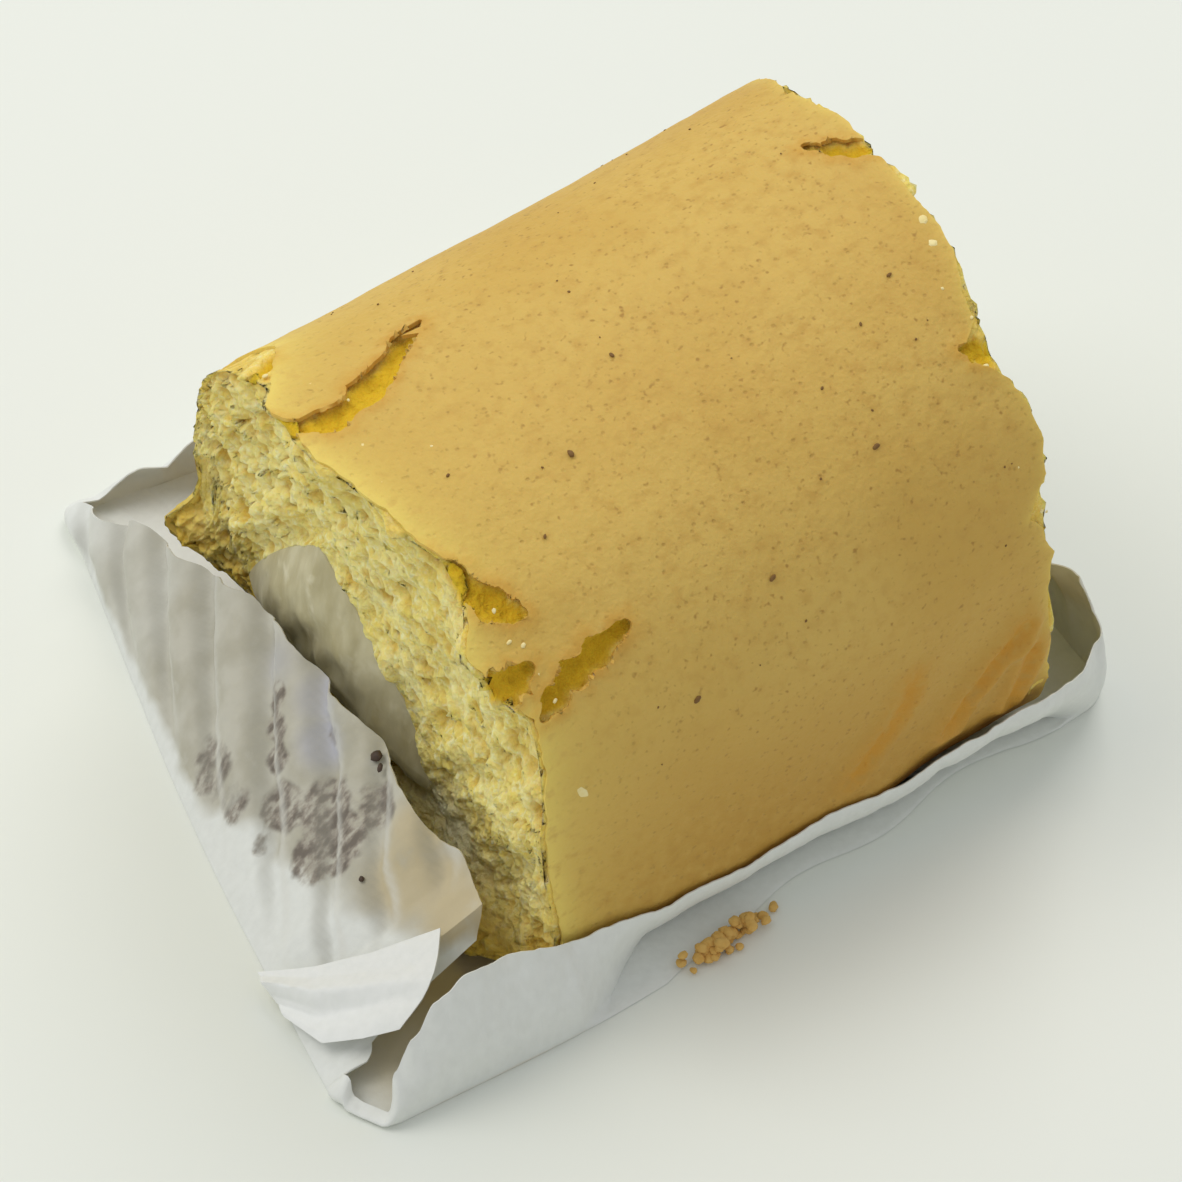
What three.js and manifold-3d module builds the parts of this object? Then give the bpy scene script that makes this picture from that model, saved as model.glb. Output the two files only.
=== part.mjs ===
// A slice of banana roll cake in its own pleated paper case, in millimetres.
// +X runs along the roll, from the near cut that shows the filling to the far cut.
// +Y runs across the roll, from its front to its back, and +Z is up.
import * as THREE from 'three';
import { mergeVertices } from 'three/addons/utils/BufferGeometryUtils.js';
import Module from 'manifold-3d';

const wasm = await Module();
wasm.setup();

// The slice: an arched sponge roll on a flattened base, taller at the far cut.
const sliceLength = 51.4;
const nearCut = { width: 53.7, height: 43.0, skew: -0.079 };
const farCut = { width: 54.9, height: 50.4, skew: 0.066 };
const cutLean = -0.099; // both cuts lean towards -X as they rise
const crownPower = 2.25; // superellipse power of the arch
const basePower = 4.5; // superellipse power of the flattened base
const waistShare = 0.46; // height of the widest place over the whole height
const swellPower = 1.35; // the height grows faster towards the far cut
const cakeLift = 1.0; // the underside of the sponge over the table

// The near cut is squashed outwards at its foot, and at the skin all down its front.
const foot = { reachOut: 8, across: -18, width: 10, up: 0, height: 9 };
const frontEdge = { reachOut: 3.1, across: -27.5, width: 6, up: 19, height: 12 };

// The filling runs through the roll, low and towards its back. It is roof-shaped above its
// widest place and flat below it.
const nearCore = { across: 8.0, up: 8.0, halfWidth: 14.5, above: 17.5, below: 4.0 };
const farCore = { across: 5.5, up: 9.0, halfWidth: 14.5, above: 19.0, below: 4.6 };
const coreRoofPower = 1.15;
const coreBasePower = 2.6;
const fillingGap = 0.4;
const fillingBulge = 2.2; // how far the soft filling swells out of the near cut

// The torn edge that flares out low at the back of the near cut.
const flare = { at: 198, reach: 13, along: 6, outward: 4.8, proud: 3.4 };

// The crumb of the cuts: gentle unevenness, and pits where it tore.
const crumbRelief = 0.55;
const pitsPerCut = 30;
const pitSize = { smallest: 0.7, largest: 1.7 };

// Tears in the skin. Along is from the near cut, girth is in degrees from the front, over the crown.
const tears = [
  { path: [[-4, 107], [-1.2, 99.7], [1.4, 98], [4.4, 99.6], [7.6, 102.6], [11, 107.6]], width: 2.3, depth: 2.0 },
  { path: [[-4, 121], [-0.6, 121.5], [2.2, 124], [3.4, 128]], width: 1.4, depth: 1.6 },
  { path: [[-3.6, 74], [-0.6, 66], [0.6, 60], [2.6, 52], [4.2, 50]], width: 2.4, depth: 1.9 },
  { path: [[-3, 41], [0.4, 40.5], [2.2, 42.5]], width: 2.8, depth: 1.8 },
  { path: [[1.8, 31.5], [4.4, 36], [7.2, 37.4], [10.2, 39.8]], width: 2.1, depth: 1.8 },
  { path: [[55, 88], [50.8, 91.5], [48.4, 96], [46.6, 100.5]], width: 1.5, depth: 1.5 },
];

// The paper case: a flat floor and pleated walls that lean in on the cuts.
const paperThickness = 0.4;
// The corners of its floor, and how far from each one the rounding starts.
const caseCorners = {
  frontLeft: { at: [-42.9, -30.4], rounding: 1.8 },
  frontBend: { at: [-22.0, -30.8], rounding: 9 },
  frontRight: { at: [35.2, -24.2], rounding: 3.2 },
  backRight: { at: [38.6, 36.4], rounding: 3.2 },
  backLeft: { at: [-33.3, 43.8], rounding: 3.2 },
  nearBend: { at: [-41.8, 5.0], rounding: 13 },
  nearEar: { at: [-45.8, -25.4], rounding: 1.8 },
};
const pleatPitch = 6.5;
const samplesPerPleat = 5;
const pleatDepth = 0.55;
const scallopRise = 0.9;
// Stations of the walls: the place round the floor from the front left corner, counted
// by its corners and bends (1 is the front bend, 2 the front right corner, 3 the back
// right, 4 the back left, 5 the near bend, 6 the near ear), how high the rim stands,
// how far it leans in over the floor, and how deep the pleats are.
const wallStations = [
  [0.0, 1.2, 0.6, 0.1],
  [0.14, 5.0, 1.2, 0.1],
  [0.28, 8.2, 1.6, 0.1],
  [0.47, 11.2, 1.9, 0.2],
  [0.71, 12.2, 2.3, 0.2],
  [1.0, 11.4, 2.6, 0.3],
  [1.14, 8.9, 2.4, 0.3],
  [1.28, 7.3, 1.5, 0.3],
  [1.4, 7.2, 0.7, 0.3],
  [1.52, 8.0, -0.1, 0.3],
  [1.66, 7.9, -1.1, 0.4],
  [1.8, 8.6, -2.1, 0.4],
  [1.93, 8.9, -2.1, 0.5],
  [2.0, 9.6, -0.2, 0.6],
  [2.07, 13.6, 3.6, 1.0],
  [2.3, 16.4, 5.4, 1.0],
  [2.7, 16.8, 6.4, 1.0],
  [2.94, 13.6, 2.4, 1.0],
  [3.06, 13.6, 2.4, 1.0],
  [3.3, 15.6, 5.6, 1.0],
  [3.7, 14.0, 5.4, 1.0],
  [3.93, 3.6, 1.4, 0.6],
  [4.0, 1.6, 0.6, 0.3],
  [4.22, 4.0, 1.7, 0.8],
  [4.52, 11.5, 6.2, 1.0],
  [4.78, 13.6, 9.1, 1.0],
  [5.03, 14.6, 11.0, 0.8],
  [5.33, 15.0, 13.1, 0.6],
  [5.48, 15.0, 15.4, 0.4],
  [5.7, 15.0, 16.0, 0.3],
  [5.85, 12.6, 17.2, 0.2],
  [5.91, 6.4, 12.4, 0.1],
  [5.97, 1.6, 4.2, 0.1],
  [6.2, 0.8, 0.4, 0.1],
];

const degrees = Math.PI / 180;
const mix = THREE.MathUtils.lerp;
const bump = (value, centre, reach) => Math.exp(-(((value - centre) / reach) ** 2));
const shaped = (value, power) => Math.sign(value) * Math.abs(value) ** (2 / power);

// A seeded draw for the pits.
function makeDraw(seed) {
  let state = seed;
  return () => {
    state = (state * 1664525 + 1013904223) % 4294967296;
    return state / 4294967296;
  };
}

// Smooth unevenness between about -1 and 1, from waves that never line up.
function uneven(a, b, scale) {
  const u = a / scale;
  const v = b / scale;
  return (
    0.42 * Math.sin(1.9 * u + 1.3 * v + 0.4) +
    0.33 * Math.sin(-2.7 * u + 2.1 * v + 1.9) +
    0.25 * Math.sin(3.7 * u + 3.1 * v + 4.2)
  );
}

// A closed surface from rings of points. It closes on itself, or ends in two single points.
function ringSurface(rings, closesOnItself) {
  const positions = [];
  const firstOf = rings.map((ring) => {
    const first = positions.length / 3;
    ring.forEach((point) => positions.push(point.x, point.y, point.z));
    return first;
  });
  const indices = [];
  const steps = closesOnItself ? rings.length : rings.length - 1;
  for (let k = 0; k < steps; k += 1) {
    const next = (k + 1) % rings.length;
    const count = Math.max(rings[k].length, rings[next].length);
    for (let i = 0; i < count; i += 1) {
      const here = [i, (i + 1) % count].map((n) => firstOf[k] + (rings[k].length > 1 ? n : 0));
      const there = [i, (i + 1) % count].map((n) => firstOf[next] + (rings[next].length > 1 ? n : 0));
      if (here[0] !== here[1]) indices.push(here[0], here[1], there[1]);
      if (there[0] !== there[1]) indices.push(here[0], there[1], there[0]);
    }
  }
  const surface = new THREE.BufferGeometry();
  surface.setAttribute('position', new THREE.Float32BufferAttribute(positions, 3));
  surface.setIndex(indices);
  return facingOut(surface);
}

// Turns a closed surface the right way round.
function facingOut(surface) {
  const place = surface.getAttribute('position');
  const index = surface.getIndex();
  const [a, b, c] = [new THREE.Vector3(), new THREE.Vector3(), new THREE.Vector3()];
  let volume = 0;
  for (let i = 0; i < index.count; i += 3) {
    a.fromBufferAttribute(place, index.getX(i));
    b.fromBufferAttribute(place, index.getX(i + 1));
    c.fromBufferAttribute(place, index.getX(i + 2));
    volume += a.dot(b.cross(c));
  }
  if (volume < 0) surface.setIndex(Array.from(index.array).reverse());
  return surface;
}

function toSolid(surface) {
  const bare = surface.clone();
  bare.deleteAttribute('normal');
  bare.deleteAttribute('uv');
  const merged = mergeVertices(bare, 1e-4);
  return new wasm.Manifold(
    new wasm.Mesh({
      numProp: 3,
      vertProperties: new Float32Array(merged.getAttribute('position').array),
      triVerts: new Uint32Array(merged.getIndex().array),
    }),
  );
}

function toSurface(solid) {
  const mesh = solid.getMesh();
  const surface = new THREE.BufferGeometry();
  surface.setAttribute('position', new THREE.BufferAttribute(new Float32Array(mesh.vertProperties), 3));
  surface.setIndex(Array.from(mesh.triVerts));
  return surface;
}

// How far along X a cut lies, at a place across and up.
function cutPlace(cut, side, y, z) {
  const plain = side * (sliceLength / 2) + cut.skew * y + cutLean * (z - cakeLift - cut.height / 2);
  if (side > 0) return plain;
  const squashed = ({ reachOut, across, width, up, height }) =>
    reachOut * bump(y, across, width) * bump(z, up, height);
  return plain - squashed(foot) - squashed(frontEdge);
}

// A place in the slice, from its share of the length, across and up.
function inSlice(share, y, z) {
  const x = mix(cutPlace(nearCut, -1, y, z), cutPlace(farCut, 1, y, z), share);
  return new THREE.Vector3(x, y, z);
}

// The skin, by share of the length and by girth in degrees from the front, over the crown.
function skinPoint(share, girth) {
  const width = mix(nearCut.width, farCut.width, share);
  const height = mix(nearCut.height, farCut.height, Math.max(share, 0) ** swellPower);
  const c = Math.cos(girth * degrees);
  const s = Math.sin(girth * degrees);
  const power = s > 0 ? crownPower : basePower;
  const rise = (s > 0 ? 1 - waistShare : waistShare) * height;
  const settle = 1 + 0.006 * uneven(share * sliceLength, girth / 6, 9);
  const y = (-width / 2) * shaped(c, power) * settle;
  const z = cakeLift + waistShare * height + rise * shaped(s, power);
  const point = inSlice(share, y, z);
  const spread = bump(girth, flare.at, flare.reach) * bump(share * sliceLength, 0, flare.along);
  point.y += flare.outward * spread;
  point.x -= flare.proud * spread * bump(share * sliceLength, 0, flare.along / 2);
  return point;
}

// The filling's outline in the slice, or that of the bore round it, which shrinks by nothing.
function corePoint(share, girth, shrink) {
  const size = (name) => mix(nearCore[name], farCore[name], share);
  const c = Math.cos(girth * degrees);
  const s = Math.sin(girth * degrees);
  const power = s > 0 ? coreRoofPower : coreBasePower;
  const rise = size(s > 0 ? 'above' : 'below') - shrink;
  return inSlice(
    share,
    size('across') - (size('halfWidth') - shrink) * shaped(c, power),
    size('up') + rise * shaped(s, power),
  );
}

const ringOf = (count, pointAt) => Array.from({ length: count }, (_, i) => pointAt((i * 360) / count));

// One torn cut of the sponge, as rings between its skin and its bore.
function cutRings(share, side, count, steps) {
  return Array.from({ length: steps - 1 }, (_, k) => {
    const inward = (k + 1) / steps;
    return ringOf(count, (girth) => {
      const point = skinPoint(share, girth).lerp(corePoint(share, girth, 0), inward);
      point.x += side * crumbRelief * (uneven(point.y, point.z, 3.1) + 0.5 * uneven(point.z, point.y, 1.3));
      return point;
    });
  });
}

// A cutter for one tear: a boat-shaped wedge that follows its path over the skin.
function tearCutter({ path, width, depth }) {
  const course = new THREE.CatmullRomCurve3(path.map(([along, girth]) => new THREE.Vector3(along, girth, 0)));
  const stations = 9;
  const rings = Array.from({ length: stations + 1 }, (_, k) => {
    const t = k / stations;
    const at = course.getPoint(t);
    const ahead = course.getPoint(Math.min(t + 0.02, 1)).sub(course.getPoint(Math.max(t - 0.02, 0)));
    const onSkin = (along, girth) => skinPoint(along / sliceLength, girth);
    const middle = onSkin(at.x, at.y);
    const forward = onSkin(at.x + ahead.x, at.y + ahead.y).sub(middle).normalize();
    const round = onSkin(at.x, at.y + 1).sub(onSkin(at.x, at.y - 1)).normalize();
    const lengthways = onSkin(at.x + 1, at.y).sub(onSkin(at.x - 1, at.y)).normalize();
    const outward = round.clone().cross(lengthways).normalize();
    const sideways = outward.clone().cross(forward).normalize();
    const fullness = Math.sin(Math.PI * mix(0.06, 0.94, t)) ** 0.7;
    const ragged = 1 + 0.22 * Math.sin(7.3 * t * Math.PI + path.length);
    const halfWidth = 0.5 * width * fullness * ragged;
    const corner = (across, up) =>
      middle.clone().addScaledVector(sideways, across).addScaledVector(outward, up);
    return [
      corner(-1.25 * halfWidth, 1.2),
      corner(1.25 * halfWidth, 1.2),
      corner(0.8 * halfWidth, -0.55 * depth * fullness),
      corner(0.1 * halfWidth, -depth * fullness),
      corner(-0.7 * halfWidth, -0.5 * depth * fullness),
    ];
  });
  const tip = (ring) => ring.reduce((sum, p) => sum.add(p), new THREE.Vector3()).divideScalar(ring.length);
  return toSolid(ringSurface([[tip(rings[0])], ...rings, [tip(rings[stations])]], false));
}

// Pits of torn crumb, spread over one cut between the skin and the filling.
function pitCutters(share, draw) {
  return Array.from({ length: pitsPerCut }, (_, k) => {
    const girth = (k * 360) / pitsPerCut + 9 * draw();
    const inward = 0.14 + 0.62 * draw();
    const place = skinPoint(share, girth).lerp(corePoint(share, girth, 0), inward);
    const radius = mix(pitSize.smallest, pitSize.largest, draw() ** 2);
    const pit = new THREE.IcosahedronGeometry(radius, 0);
    pit.rotateX(6 * draw());
    pit.rotateZ(6 * draw());
    pit.scale(0.9, 1 + 0.5 * draw(), 1 + 0.5 * draw());
    pit.translate(place.x, place.y, place.z);
    return toSolid(pit);
  });
}

function spongeRoll() {
  const girthSteps = 60;
  const lengthShares = [0, 0.03, 0.08, 0.16, 0.28, 0.42, 0.56, 0.7, 0.84, 0.94, 1];
  const boreShares = [1, 0.66, 0.33, 0];
  const skinRings = lengthShares.map((share) => ringOf(girthSteps, (girth) => skinPoint(share, girth)));
  const boreRings = boreShares.map((share) => ringOf(girthSteps, (girth) => corePoint(share, girth, 0)));
  const farRings = cutRings(1, 1, girthSteps, 6);
  const nearRings = cutRings(0, -1, girthSteps, 6).reverse();
  let solid = toSolid(ringSurface([...skinRings, ...farRings, ...boreRings, ...nearRings], true));
  const draw = makeDraw(71);
  const cutters = [...tears.map(tearCutter), ...pitCutters(0, draw), ...pitCutters(1, draw)];
  cutters.forEach((cutter) => {
    solid = solid.subtract(cutter);
  });
  // A crumb that the pits cut loose falls away.
  const whole = solid.decompose().reduce((one, other) => (other.volume() > one.volume() ? other : one));
  return toSurface(whole);
}

function fillingCore() {
  const girthSteps = 36;
  const shrinks = [0.82, 0.6, 0.34, 0.12];
  const girdle = (share, shrinkShare, swell) =>
    ringOf(girthSteps, (girth) => {
      const middle = corePoint(share, 90, 0).lerp(corePoint(share, 270, 0), 0.6);
      const point = corePoint(share, girth, fillingGap).lerp(middle, shrinkShare);
      point.x += swell * (1 - (1 - shrinkShare) ** 3) + 0.45 * uneven(point.y, point.z, 2.6) * shrinkShare;
      return point;
    });
  const centreOf = (ring) => ring.reduce((sum, p) => sum.add(p), new THREE.Vector3()).divideScalar(ring.length);
  const nearCap = shrinks.map((shrink) => girdle(0, shrink, -fillingBulge));
  const farCap = shrinks.map((shrink) => girdle(1, shrink, 0.4 * fillingBulge)).reverse();
  const barrel = [0, 0.25, 0.5, 0.75, 1].map((share) => girdle(share, 0, 0));
  const rings = [[centreOf(nearCap[0])], ...nearCap, ...barrel, ...farCap, [centreOf(farCap[3])]];
  return ringSurface(rings, false);
}

// The outline of the floor of the case, with rounded corners, and its corner lengths.
function caseOutline() {
  const roundings = Object.values(caseCorners).map(({ rounding }) => rounding);
  const corners = Object.values(caseCorners).map(({ at: [x, y] }) => new THREE.Vector2(x, y));
  const outline = new THREE.Path();
  const lengths = [];
  corners.forEach((corner, k) => {
    const towards = (other) => corners[other % corners.length].clone().sub(corner);
    const before = towards(k + corners.length - 1).setLength(roundings[k]).add(corner);
    const after = towards(k + 1).setLength(roundings[k]).add(corner);
    if (k === 0) outline.moveTo(before.x, before.y);
    else outline.lineTo(before.x, before.y);
    lengths.push(outline.curves.length ? outline.getLength() : 0);
    outline.quadraticCurveTo(corner.x, corner.y, after.x, after.y);
    outline.curves.forEach((curve) => curve.updateArcLengths());
    outline.cacheLengths = null;
  });
  outline.closePath();
  outline.cacheLengths = null;
  return { outline, lengths: [...lengths, outline.getLength()] };
}

function wallAt(place, places) {
  const last = wallStations.length;
  let k = wallStations.findIndex(([at]) => at > place);
  if (k < 0) k = last;
  const before = wallStations[k - 1];
  const after = k < last ? wallStations[k] : [places, ...wallStations[0].slice(1)];
  const share = THREE.MathUtils.smoothstep(place, before[0], after[0]);
  const [rise, lean, pleating] = [1, 2, 3].map((n) => mix(before[n], after[n], share));
  return { rise, lean, pleating };
}

function paperCase() {
  const { outline, lengths } = caseOutline();
  const sides = lengths.length - 1;
  const girth = lengths[sides];
  const pleats = Math.round(girth / pleatPitch);
  const count = pleats * samplesPerPleat;
  const cornerPlace = (length) => {
    const side = lengths.findIndex((at, n) => n < sides && length < lengths[n + 1] + 1e-9);
    return side + (length - lengths[side]) / (lengths[side + 1] - lengths[side]);
  };
  const floor = paperThickness / 2;
  const ring = (climb) =>
    Array.from({ length: count }, (_, i) => {
      const t = i / count;
      const on = outline.getPointAt(t);
      const tangent = outline.getTangentAt(t);
      const inward = new THREE.Vector2(-tangent.y, tangent.x);
      const { rise, lean, pleating } = wallAt(cornerPlace(t * girth), sides);
      const phase = ((i % samplesPerPleat) / samplesPerPleat) * 2 * Math.PI;
      const pleat = pleatDepth * pleating * Math.sin(phase) * Math.min(1, 0.35 + climb) * Math.sign(climb);
      const bow = 0.9 * Math.sin(Math.PI * climb);
      const offset = (lean * climb - bow) + pleat;
      const height = rise * climb + (climb === 1 ? scallopRise * pleating * Math.abs(Math.sin(phase / 2)) : 0);
      return new THREE.Vector3(on.x + inward.x * offset, on.y + inward.y * offset, floor + height);
    });
  const climbs = [0, 0.35, 0.7, 1];
  const middle = climbs.map(ring);
  const centre = middle[0].reduce((sum, p) => sum.add(p), new THREE.Vector3()).divideScalar(count);
  // Each point moves half a thickness out of the sheet, to one side and to the other.
  const skinOf = (side) =>
    middle.map((points, k) =>
      points.map((point, i) => {
        const round = points[(i + 1) % count].clone().sub(points[(i + count - 1) % count]);
        const below = k > 0 ? middle[k - 1][i] : centre;
        const above = k < middle.length - 1 ? middle[k + 1][i] : point;
        const up = above.clone().sub(below);
        const normal = up.cross(round).normalize();
        return point.clone().addScaledVector(normal, (side * paperThickness) / 2);
      }),
    );
  const under = skinOf(-1).map((points, k) =>
    points.map((point) => new THREE.Vector3(point.x, point.y, k === 0 ? 0 : Math.max(point.z, 0.02))),
  );
  const over = skinOf(1);
  const low = centre.clone().setZ(0);
  const high = centre.clone().setZ(paperThickness);
  over[0].forEach((point) => point.setZ(paperThickness));
  return ringSurface([[low], ...under, ...over.reverse(), [high]], false);
}

const finishes = {
  sponge: new THREE.MeshStandardMaterial({ color: 0xd6b05e, roughness: 0.85, metalness: 0 }),
  filling: new THREE.MeshStandardMaterial({ color: 0xb4ae90, roughness: 0.45, metalness: 0 }),
  paper: new THREE.MeshStandardMaterial({ color: 0xe6e8e0, roughness: 0.7, metalness: 0 }),
};

function named(name, surface, finish) {
  surface.computeVertexNormals();
  const mesh = new THREE.Mesh(surface, finish);
  mesh.name = name;
  return mesh;
}

const slice = new THREE.Group();
slice.add(named('sponge_roll', spongeRoll(), finishes.sponge));
slice.add(named('banana_filling', fillingCore(), finishes.filling));
slice.add(named('paper_case', paperCase(), finishes.paper));

// The origin is at the middle of the underside of the whole.
const middle = new THREE.Box3().setFromObject(slice, true).getCenter(new THREE.Vector3());
slice.position.set(-middle.x, -middle.y, 0);
const part = new THREE.Group();
part.add(slice);

export default part;
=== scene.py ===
"""A slice of banana roll cake in its own pleated paper case.

Sizes are in millimetres, and become metres where a mesh gets its places. The roll lies along X, from the
near cut that shows the filling to the far cut. Y runs from its front to its back, and Z is up.
"""
import math
import random

import bpy
import numpy as np
from mathutils import Matrix, Vector, noise


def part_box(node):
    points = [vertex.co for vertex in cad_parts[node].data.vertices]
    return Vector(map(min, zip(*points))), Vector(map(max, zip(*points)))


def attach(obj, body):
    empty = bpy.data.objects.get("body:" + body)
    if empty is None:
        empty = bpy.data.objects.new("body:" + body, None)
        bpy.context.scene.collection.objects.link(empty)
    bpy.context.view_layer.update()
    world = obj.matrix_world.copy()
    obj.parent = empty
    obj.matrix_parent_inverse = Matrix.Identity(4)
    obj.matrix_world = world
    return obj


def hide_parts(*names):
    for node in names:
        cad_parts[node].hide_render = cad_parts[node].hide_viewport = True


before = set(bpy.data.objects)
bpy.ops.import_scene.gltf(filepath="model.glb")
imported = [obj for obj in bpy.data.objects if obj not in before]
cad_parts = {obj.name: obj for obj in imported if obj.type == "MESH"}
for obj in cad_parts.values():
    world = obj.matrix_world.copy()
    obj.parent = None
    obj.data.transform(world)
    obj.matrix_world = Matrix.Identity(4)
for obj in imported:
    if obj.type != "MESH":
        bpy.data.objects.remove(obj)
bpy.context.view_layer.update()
mm = 0.001

# ---------------------------------------------------------------------------------------------------------
# The banana filling.
# A core of mashed banana and cream that the sponge was rolled round. It was still soft when the roll was
# cut, so the knife smeared it and it swells a little out of both cuts.
# ---------------------------------------------------------------------------------------------------------
roll_middle = (3.736, -6.629)  # where the roll's middle stands, from the middle of the case
slice_length = 51.4
near_cut = {"width": 53.7, "height": 43.0, "skew": -0.079}
far_cut = {"width": 54.9, "height": 50.4, "skew": 0.066}
cut_lean = -0.099
cake_lift = 1.0
foot = {"reach_out": 8.0, "across": -18.0, "width": 10.0, "up": 0.0, "height": 9.0}
front_edge = {"reach_out": 3.1, "across": -27.5, "width": 6.0, "up": 19.0, "height": 12.0}
near_core = {"across": 8.0, "up": 8.0, "half_width": 14.5, "above": 17.5, "below": 4.0}
far_core = {"across": 5.5, "up": 9.0, "half_width": 14.5, "above": 19.0, "below": 4.6}
core_roof_power, core_base_power = 1.15, 2.6
filling_gap = 0.12
filling_bulge = 2.2


def places_of(piece):
    places = np.empty(3 * len(piece.data.vertices))
    piece.data.vertices.foreach_get("co", places)
    return places.reshape(-1, 3)


def put_places(piece, places):
    """Moves a mesh's points to places in millimetres, from the middle of the roll."""
    moved = (places + (*roll_middle, 0)) * mm
    piece.data.vertices.foreach_set("co", moved.ravel())
    piece.data.update()


def mix(a, b, share):
    return a + (b - a) * share


def bump(value, centre, reach):
    return np.exp(-(((value - centre) / reach) ** 2))


def shaped(value, power):
    return np.sign(value) * np.abs(value) ** (2 / power)


def uneven(a, b, scale):
    """Smooth unevenness between about -1 and 1."""
    u, v = a / scale, b / scale
    return (
        0.42 * np.sin(1.9 * u + 1.3 * v + 0.4)
        + 0.33 * np.sin(-2.7 * u + 2.1 * v + 1.9)
        + 0.25 * np.sin(3.7 * u + 3.1 * v + 4.2)
    )


def rough(places, scale, octaves=3):
    """Fractal unevenness of about -1 to 1 at each place, its coarsest lumps about scale wide."""
    return np.array([noise.fractal(Vector(p) / scale, 0.9, 2.1, octaves) for p in places])


def cut_place(cut, side, y, z):
    """How far along the roll a cut lies, at a place across and up."""
    plain = side * slice_length / 2 + cut["skew"] * y + cut_lean * (z - cake_lift - cut["height"] / 2)
    if side > 0:
        return plain
    for squashed in (foot, front_edge):
        reach = squashed["reach_out"] * bump(y, squashed["across"], squashed["width"])
        plain = plain - reach * bump(z, squashed["up"], squashed["height"])
    return plain


def in_slice(share, y, z):
    x = mix(cut_place(near_cut, -1, y, z), cut_place(far_cut, 1, y, z), share)
    return np.stack([x, y, z], axis=-1)


def core_point(share, girth, shrink):
    """The bore of the sponge. Girth is in degrees from the front, over the top."""
    across, up, half_width, above, below = (mix(near_core[size], far_core[size], share) for size in near_core)
    c, s = np.cos(np.radians(girth)), np.sin(np.radians(girth))
    power = np.where(s > 0, core_roof_power, core_base_power)
    side = shaped(c, power)
    rise = (np.where(s > 0, above, below) - shrink) * shaped(s, power)
    return in_slice(share, across - (half_width - shrink) * side, up + rise)


def face_outwards(piece):
    bpy.ops.object.mode_set(mode="EDIT")
    bpy.ops.mesh.select_all(action="SELECT")
    bpy.ops.mesh.normals_make_consistent(inside=False)
    bpy.ops.object.mode_set(mode="OBJECT")


def new_finish(name, roughness):
    """A material with its nodes, and the piece's own places to hang patterns on."""
    finish = bpy.data.materials.new(name)
    finish.use_nodes = True
    shader = finish.node_tree.nodes["Principled BSDF"]
    shader.inputs["Roughness"].default_value = roughness
    place = finish.node_tree.nodes.new("ShaderNodeTexCoord").outputs["Object"]
    return finish, shader, place


def linear(colour):
    """A colour as seen on a screen, 0 to 255, as Blender mixes it."""
    shares = [value / 255 for value in colour]
    return [*(s / 12.92 if s < 0.04045 else ((s + 0.055) / 1.055) ** 2.4 for s in shares), 1.0]


def node_of(finish, kind, settings=(), **inputs):
    """A node with some of its settings and inputs given. An input is a value, or a socket to link."""
    node = finish.node_tree.nodes.new(kind)
    for name, value in dict(settings).items():
        setattr(node, name, value)
    for name, value in inputs.items():
        socket = node.inputs[int(name[1:])] if name[0] == "_" else node.inputs[name.replace("_", " ")]
        if isinstance(value, bpy.types.NodeSocket):
            finish.node_tree.links.new(value, socket)
        else:
            socket.default_value = value
    return node


def grain(finish, place, size, detail=3.0, stretch=(1, 1, 1)):
    """Cloudy grain of a size in millimetres, about 0 to 1."""
    drawn = node_of(finish, "ShaderNodeMapping", Vector=place, Scale=[1 / (size * mm * s) for s in stretch])
    cloud = node_of(finish, "ShaderNodeTexNoise", Vector=drawn.outputs[0], Scale=1.0, Detail=detail)
    return cloud.outputs["Fac"]


def pores(finish, place, size):
    """Distance from the middle of the nearest pore, for pores of a size in millimetres."""
    cells = node_of(finish, "ShaderNodeTexVoronoi", Vector=place, Scale=1 / (size * mm))
    return cells.outputs["Distance"]


def between(finish, value, low, high):
    """0 below low, 1 above high, and smooth between."""
    ramp = node_of(
        finish, "ShaderNodeMapRange", {"interpolation_type": "SMOOTHSTEP"},
        Value=value, From_Min=low, From_Max=high,
    )
    return ramp.outputs["Result"]


def times(finish, first, second):
    return node_of(finish, "ShaderNodeMath", {"operation": "MULTIPLY"}, _0=first, _1=second).outputs[0]


def blended(finish, share, first, second):
    """A colour that goes from the first to the second as share goes from 0 to 1."""
    mixed = node_of(finish, "ShaderNodeMix", {"data_type": "RGBA"}, _0=share, _6=first, _7=second)
    return mixed.outputs[2]


def layered(finish, colour, layers):
    """A colour with others laid over it in turn, each given with how much of it shows."""
    for share, over in layers:
        over = over if isinstance(over, bpy.types.NodeSocket) else linear(over)
        colour = blended(finish, share, colour, over)
    return colour


def coloured(finish, shader, colour):
    finish.node_tree.links.new(colour, shader.inputs["Base Color"])


def raised(finish, shader, height, depth, below=None):
    """Fine relief of a depth in millimetres, over relief that is already there."""
    relief = node_of(finish, "ShaderNodeBump", Height=height, Distance=depth * mm)
    if below is not None:
        finish.node_tree.links.new(below, relief.inputs["Normal"])
    finish.node_tree.links.new(relief.outputs["Normal"], shader.inputs["Normal"])
    return relief.outputs["Normal"]


def glow_inside(shader, weight, depth, radius):
    """Light that sinks in and comes out again, to a depth in millimetres."""
    shader.inputs["Subsurface Weight"].default_value = weight
    shader.inputs["Subsurface Radius"].default_value = radius
    shader.inputs["Subsurface Scale"].default_value = depth * mm


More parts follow.
